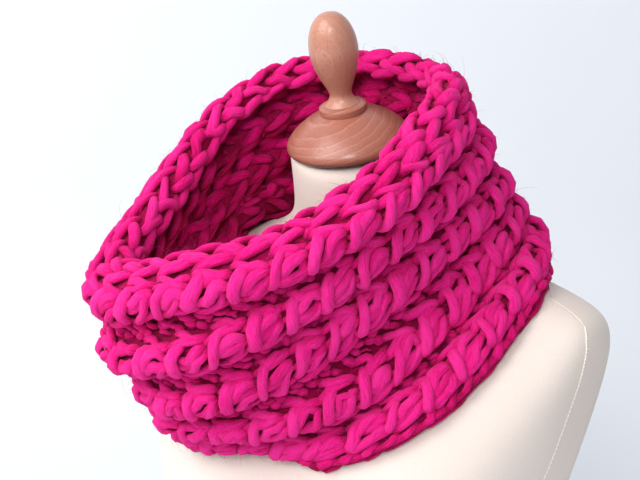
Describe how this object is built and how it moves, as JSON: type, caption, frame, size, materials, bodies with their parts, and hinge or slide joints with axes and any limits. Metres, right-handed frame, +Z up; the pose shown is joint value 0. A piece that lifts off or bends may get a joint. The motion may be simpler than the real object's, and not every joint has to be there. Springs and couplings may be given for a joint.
{
  "type": "knitted infinity scarf on a limbless dress form",
  "caption": "Chunky ridged knit infinity scarf worn as a slack cowl, high at the back and low in front, on a limbless dress form with a turned wood neck cap.",
  "frame": {"origin": "middle of the form's flat underside", "axes": "+Z up, -Y the way the form faces, +X towards its wearer's left shoulder"},
  "size_m": [0.413, 0.3757, 0.6308],
  "materials": {
    "wool": "soft matte single-ply roving wool",
    "jersey": "fine cream jersey cover",
    "beech": "satin turned beech"
  },
  "bodies": {
    "root": {"scarf": "wool", "form_body": "jersey", "neck_cap": "beech", "finial": "beech"}
  },
  "joints": []
}
